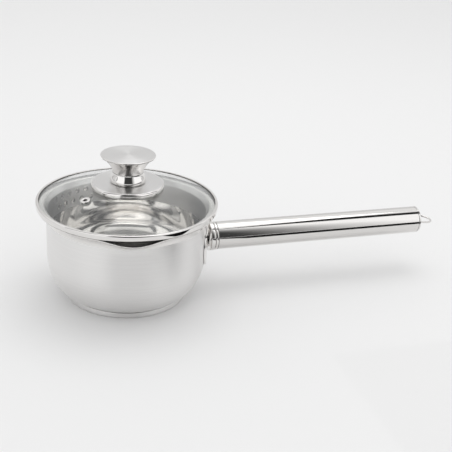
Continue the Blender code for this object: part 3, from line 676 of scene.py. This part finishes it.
def build_vent(sizes):
    """An eyelet with a rolled rim above the glass and its tail turned over a washer below."""
    bore = 1.9 * MM
    shank = bore + 0.8 * MM
    washer = 0.6 * MM
    head_r = 4.9 * MM
    head = 1.25 * MM
    tail_r = 4.1 * MM
    tail = -sizes.glass - GAP - washer - GAP
    foot = tail - 0.95 * MM
    section = rounded([(bore, foot, 0.3 * MM), (bore, head, 0.7 * MM), (head_r, head, 0.6 * MM),
                       (head_r, GAP, 0.3 * MM), (shank, GAP, 0.1 * MM), (shank, tail, 0.1 * MM),
                       (tail_r, tail, 0.3 * MM), (tail_r, foot, 0.4 * MM)])
    grid = placed(lathe(section, 64), vent_matrix(sizes))
    return piece("vent_ferrule", grid, (POLISHED,), "lid", "vent_eyelet")


def build_knob():
    """Plate with a rolled edge, bulging collar, flared neck and a thin turned top."""
    bore, plate_r, foot, high = turned_box("knob_plate")
    sheet = 0.8 * MM
    roll = 2.4 * MM
    plate = rounded([(bore, high - sheet, 0.0), (bore, high, 0.2 * MM), (plate_r, high, roll),
                     (plate_r - 0.3 * MM, foot, 0.25 * MM), (plate_r - 0.3 * MM - sheet, foot, 0.25 * MM),
                     (plate_r - sheet, high - sheet, roll - sheet)])
    satin_part = (plate[:, 1] > high - 0.3 * MM) & (plate[:, 0] > bore)
    band = np.where(satin_part, 0, 1)
    piece("plate_shell", lathe(plate, 192), (TURNED, POLISHED), "lid", "knob_plate",
          band=band, sharp=50.0)
    _, bulge, low, high = turned_box("knob_collar")
    tall = high - low
    thin = 1.0 * MM
    waist = turned_box("knob_neck")[0] + thin
    share = np.linspace(0.0, 1.0, 28)
    swell = (bulge - waist) * np.cos(math.pi / 2.0 * np.clip((share - 0.16) / 0.84, 0.0, 1.0)) ** 1.6
    swell = swell - (bulge - waist) * 0.45 * np.clip(1.0 - share / 0.16, 0.0, 1.0) ** 2
    outer = np.stack([waist + swell, low + tall * share], axis=1)
    collar = np.concatenate([outer, (outer - (thin, 0.0))[::-1]])
    piece("collar_bell", lathe(collar, 160), (POLISHED,), "lid", "knob_collar")
    _, wide, low, high = turned_box("knob_neck")
    share = np.linspace(0.0, 1.0, 40)
    outer = np.stack([waist + (wide - waist) * share ** 1.7, low + (high - low) * share], axis=1)
    neck = np.concatenate([outer, (outer - (thin, 0.0))[::-1]])
    piece("neck_bell", lathe(neck, 160), (POLISHED,), "lid", "knob_neck")
    _, wide, low, high = turned_box("knob_top")
    top = rounded([(0.0, high, 0.0), (wide * 0.55, high - 0.18 * MM, 12.0 * MM),
                   (wide, high - 0.6 * MM, 0.6 * MM), (wide - 0.5 * MM, low, 0.5 * MM), (0.0, low, 0.0)],
                  closed=False)
    count = len(top)
    edge = np.arange(count) > int(np.argmax(top[:, 0] > wide - 0.9 * MM))
    piece("top_disc", lathe(top, 192), (TURNED, POLISHED), "lid", "knob_top",
          closed=False, band=np.where(edge, 1, 0), sharp=50.0)


def build_clamp():
    """The washer, the gaskets and the screw with its domed head, which hold the knob to the glass."""
    bore, wide, low, high = turned_box("knob_washer")
    washer = rounded([(bore, low, 0.2 * MM), (bore, high, 0.2 * MM), (wide, high, 0.2 * MM),
                      (wide, low, 0.2 * MM)])
    piece("washer_ring", lathe(washer, 96), (POLISHED,), "lid", "knob_washer")
    _, head, low, high = turned_box("knob_screw")
    shank = 2.5 * MM
    head_height = 2.6 * MM
    under = low + head_height
    screw = rounded([(0.0, high, 0.0), (shank, high, 0.6 * MM), (shank, under, 0.0), (head, under, 0.2 * MM),
                     (head, low, 1.6 * MM), (0.0, low, 0.0)], closed=False)
    piece("screw_turning", lathe(screw, 64), (POLISHED,), "lid_spindle", "knob_screw",
          closed=False)
    for name in ("knob_gasket_upper", "knob_gasket_lower"):
        bore, wide, low, high = turned_box(name)
        ring = rounded([(bore, low, 0.2 * MM), (bore, high, 0.2 * MM), (wide, high, 0.35 * MM),
                        (wide, low, 0.35 * MM)])
        if name == "knob_gasket_lower":
            ring[:, 1] = np.where(ring[:, 1] > (low + high) / 2.0, ring[:, 1] - 0.3 * MM, ring[:, 1])
        piece(name + "_ring", lathe(ring, 96), ("moulded_silicone",), "lid", name)


# ---------------------------------------------------------------- studio

CAMERA_PLACE = Vector((-183.65, -867.60, 466.27)) * MM
CAMERA_TURN = (18.285, 23.793, 3.459)
CAMERA_LENS = 77.615


def add_camera():
    """The camera, from its place, its heading, how far it looks down, and its roll."""
    heading, down, roll = [math.radians(angle) for angle in CAMERA_TURN]
    ahead = Vector((math.sin(heading) * math.cos(down), math.cos(heading) * math.cos(down), -math.sin(down)))
    right = Vector((math.cos(heading), -math.sin(heading), 0.0))
    up = right.cross(ahead)
    right_turned = math.cos(roll) * right + math.sin(roll) * up
    up_turned = math.cos(roll) * up - math.sin(roll) * right
    data = bpy.data.cameras.new("studio_camera")
    data.sensor_width = 36.0
    data.lens = CAMERA_LENS
    data.clip_start = 0.01
    made = bpy.data.objects.new("studio_camera", data)
    bpy.context.scene.collection.objects.link(made)
    matrix = Matrix((right_turned, up_turned, -ahead)).transposed().to_4x4()
    matrix.translation = CAMERA_PLACE
    made.matrix_world = matrix
    bpy.context.scene.camera = made


def add_area(name, place, target, size, power):
    """A square white soft light at a place, turned to face a target."""
    data = bpy.data.lights.new(name, "AREA")
    data.size = size
    data.energy = power
    made = bpy.data.objects.new(name, data)
    bpy.context.scene.collection.objects.link(made)
    made.location = place
    made.rotation_euler = (Vector(target) - Vector(place)).to_track_quat("-Z", "Y").to_euler()


def ramp(tree, value, stops):
    """A colour ramp through (position, grey) stops."""
    made = add(tree, "ValToRGB", links=[("Fac", value)])
    line = made.color_ramp
    while len(line.elements) > 1:
        line.elements.remove(line.elements[-1])
    line.elements[0].position = stops[0][0]
    line.elements[0].color = (stops[0][1],) * 3 + (1.0,)
    for position, grey in stops[1:]:
        line.elements.new(position).color = (grey, grey, grey, 1.0)
    return made.outputs["Color"]


def add_world():
    """Reflections see two soft boxes, dark between them, and a pale ceiling; all else sees plain grey.

    boxes goes by the turn about Z from the front. heights and ceiling go by an arch about X, in
    degrees from the front floor line, over the top (90) and down to the back (180).
    """
    world = bpy.data.worlds.new("studio")
    bpy.context.scene.world = world
    world.use_nodes = True
    tree = world.node_tree
    tree.nodes.clear()
    seen = add(tree, "TexCoord").outputs["Generated"]
    front = Vector((CAMERA_PLACE.x, CAMERA_PLACE.y, 0.0)).normalized()
    right = Vector((-front.y, front.x, 0.0))
    ahead = add(tree, "VectorMath", [(1, front)], [(0, seen)], operation="DOT_PRODUCT")
    aside = add(tree, "VectorMath", [(1, right)], [(0, seen)], operation="DOT_PRODUCT")
    turn = add(tree, "Math", links=[(0, aside.outputs["Value"]), (1, ahead.outputs["Value"])],
               operation="ARCTAN2")
    around = add(tree, "MapRange", [("From Min", -math.pi), ("From Max", math.pi)],
                 [("Value", turn.outputs["Value"])])
    axes = add(tree, "SeparateXYZ", links=[("Vector", seen)])
    toward = add(tree, "Math", [(1, -1.0)], [(0, axes.outputs["Y"])], operation="MULTIPLY")
    arch = add(tree, "Math", links=[(0, axes.outputs["Z"]), (1, toward.outputs["Value"])],
               operation="ARCTAN2")
    over = add(tree, "MapRange", [("From Min", -math.pi), ("From Max", math.pi)],
               [("Value", arch.outputs["Value"])])
    boxes = ramp(tree, around.outputs["Result"],
                 [((180 + a) / 360.0, g) for a, g in ((-180, 0.1), (-100, 0.1), (-84, 0.12), (-80, 1.0),
                                                      (-26, 1.0), (-20, 0.03), (26, 0.03), (46, 1.0),
                                                      (98, 1.0), (104, 0.12), (180, 0.1))])
    heights = ramp(tree, over.outputs["Result"],
                   [((180 + e) / 360.0, g) for e, g in ((-30, 1.0), (70, 1.0), (73, 0.0), (180, 0.0))])
    ceiling = ramp(tree, over.outputs["Result"],
                   [((180 + e) / 360.0, g) for e, g in ((0, 0.01), (91, 0.01), (95, 0.80), (142, 0.80),
                                                    (150, 0.62), (180, 0.62))])
    sides = add(tree, "Mix", links=[("A", boxes), ("B", heights)], data_type="RGBA", blend_type="MULTIPLY")
    sides.inputs["Factor"].default_value = 1.0
    total = add(tree, "Mix", links=[("A", sides.outputs["Result"]), ("B", ceiling)], data_type="RGBA",
                blend_type="ADD")
    total.inputs["Factor"].default_value = 1.0
    lit = add(tree, "Background", [("Strength", 1.2)], [("Color", total.outputs["Result"])])
    plain = add(tree, "Background", [("Color", linear("F2F2F2")), ("Strength", 1.03)])
    path = add(tree, "LightPath")
    either = add(tree, "Math", operation="MAXIMUM",
                 links=[(0, path.outputs["Is Camera Ray"]), (1, path.outputs["Is Diffuse Ray"])])
    both = add(tree, "MixShader", links=[("Fac", either.outputs["Value"]), (1, lit.outputs[0]),
                                         (2, plain.outputs[0])])
    add(tree, "OutputWorld", links=[("Surface", both.outputs[0])])


def add_floor(code):
    """A round floor of matt pale board, and a dark card that only reflections see.

    The board's fine grain keeps it from looking like plastic. The card lies in front of the handle
    and gives it its dark lines.
    """
    floor_radius = 6.0
    floor_tree, shader = new_material("matt_painted_board")
    place = add(floor_tree, "TexCoord").outputs["Object"]
    grain = add(floor_tree, "TexNoise", [("Scale", 900.0), ("Detail", 2.0)], [("Vector", place)])
    bump = add(floor_tree, "Bump", [("Strength", 0.05), ("Distance", 0.0002)],
               [("Height", grain.outputs["Fac"])])
    shader.inputs["Base Color"].default_value = linear(code)
    shader.inputs["Roughness"].default_value = 0.75
    floor_tree.links.new(bump.outputs["Normal"], shader.inputs["Normal"])
    angle = np.linspace(0.0, math.tau, 96, endpoint=False)
    rim = np.stack([floor_radius * np.cos(angle), floor_radius * np.sin(angle), 0.0 * angle], axis=1)
    mesh = bpy.data.meshes.new("floor")
    mesh.from_pydata(rim, [], [list(range(len(rim)))])
    floor = bpy.data.objects.new("floor", mesh)
    mesh.materials.append(material("matt_painted_board"))
    bpy.context.scene.collection.objects.link(floor)
    _, shader = new_material("black_card")
    shader.inputs["Base Color"].default_value = linear("101010")
    shader.inputs["Roughness"].default_value = 1.0
    shader.inputs["Specular IOR Level"].default_value = 0.0
    left, right, front, back = 0.16, 1.8, -1.2, -0.16
    corners = [(left, back, MM), (left, front, MM), (right, front, MM), (right, back, MM)]
    mesh = bpy.data.meshes.new("dark_card")
    mesh.from_pydata(corners, [], [(0, 1, 2, 3)])
    card = bpy.data.objects.new("dark_card", mesh)
    mesh.materials.append(material("black_card"))
    bpy.context.scene.collection.objects.link(card)
    card.visible_camera = False
    card.visible_diffuse = False
    card.visible_transmission = False
    card.visible_shadow = False


# ---------------------------------------------------------------- operators

class SAUCEPAN_OT_finishes(bpy.types.Operator):
    """Make every finish, and give the hidden CAD nodes theirs"""
    bl_idname = "saucepan.finishes"
    bl_label = "Finishes"

    def execute(self, context):
        look = context.scene.saucepan_finishes
        mirror_steel(look)
        brushed_steel(SATIN, look.brushed_colour, 0.30, 0.42, 0.9, 0.012, False)
        brushed_steel(TURNED, look.turned_colour, 0.28, 0.38, 0.7, 0.010, False)
        brushed_steel(DRAWN, look.polished_colour, 0.06, 0.13, 0.8, 0.004, True)
        float_glass(look)
        grained("mill_finish_aluminium", "D2D3D4", 1.0, 0.42, 0.9, 0.02)
        grained("moulded_silicone", "C8C8C6", 0.0, 0.55, 0.6, 0.02)
        for node, finish in (("base_core", "mill_finish_aluminium"), ("knob_boss", POLISHED),
                             ("vent_washer", "moulded_silicone")):
            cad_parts[node].data.materials.clear()
            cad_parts[node].data.materials.append(material(finish))
        return {"FINISHED"}


class SAUCEPAN_OT_pan(bpy.types.Operator):
    """Build the drawn vessel and its capsule base"""
    bl_idname = "saucepan.pan"
    bl_label = "Pan"

    def execute(self, context):
        build_vessel(context.scene.saucepan_pan)
        build_base()
        return {"FINISHED"}


class SAUCEPAN_OT_handle(bpy.types.Operator):
    """Build the flange, the handle's turned pieces and the hanging loop"""
    bl_idname = "saucepan.handle"
    bl_label = "Handle"

    def execute(self, context):
        build_flange(context.scene.saucepan_pan)
        build_handle()
        build_loop()
        return {"FINISHED"}


class SAUCEPAN_OT_lid(bpy.types.Operator):
    """Build the rolled ring, the glass and its steam vent"""
    bl_idname = "saucepan.lid"
    bl_label = "Lid"

    def execute(self, context):
        build_ring(context.scene.saucepan_lid)
        build_glass(context.scene.saucepan_lid)
        build_vent(context.scene.saucepan_lid)
        return {"FINISHED"}


class SAUCEPAN_OT_knob(bpy.types.Operator):
    """Build the knob and the pieces that clamp it to the glass"""
    bl_idname = "saucepan.knob"
    bl_label = "Knob"

    def execute(self, context):
        build_knob()
        build_clamp()
        return {"FINISHED"}


class SAUCEPAN_OT_studio(bpy.types.Operator):
    """Set up the floor, the lights and the camera"""
    bl_idname = "saucepan.studio"
    bl_label = "Studio"

    def execute(self, context):
        add_world()
        add_floor(context.scene.saucepan_finishes.floor_colour)
        add_area("key_light", (0.30, 0.30, 1.5), (0.05, 0.0, 0.05), 1.1, 4.5)
        add_camera()
        context.scene.view_settings.view_transform = "Standard"
        return {"FINISHED"}


class SAUCEPAN_PT_panel(bpy.types.Panel):
    """Lists the steps and the sizes"""
    bl_idname = "SAUCEPAN_PT_panel"
    bl_label = "Saucepan"
    bl_space_type = "VIEW_3D"
    bl_region_type = "UI"
    bl_category = "Saucepan"

    def draw(self, context):
        for step in STEPS:
            self.layout.operator(step.bl_idname)
        scene = context.scene
        for group in (scene.saucepan_pan, scene.saucepan_lid, scene.saucepan_finishes):
            for name in group.bl_rna.properties.keys():
                if name not in ("rna_type", "name"):
                    self.layout.prop(group, name)


GROUPS = (PanSizes, LidSizes, Finishes)
STEPS = (SAUCEPAN_OT_finishes, SAUCEPAN_OT_pan, SAUCEPAN_OT_handle, SAUCEPAN_OT_lid, SAUCEPAN_OT_knob,
         SAUCEPAN_OT_studio)


def register():
    for made in GROUPS + STEPS + (SAUCEPAN_PT_panel,):
        bpy.utils.register_class(made)
    bpy.types.Scene.saucepan_pan = bpy.props.PointerProperty(type=PanSizes)
    bpy.types.Scene.saucepan_lid = bpy.props.PointerProperty(type=LidSizes)
    bpy.types.Scene.saucepan_finishes = bpy.props.PointerProperty(type=Finishes)


def unregister():
    del bpy.types.Scene.saucepan_finishes
    del bpy.types.Scene.saucepan_lid
    del bpy.types.Scene.saucepan_pan
    for made in reversed(GROUPS + STEPS + (SAUCEPAN_PT_panel,)):
        bpy.utils.unregister_class(made)


def main():
    register()
    for step in STEPS:
        group, name = step.bl_idname.split(".")
        getattr(getattr(bpy.ops, group), name)()


if __name__ == "__main__":
    main()
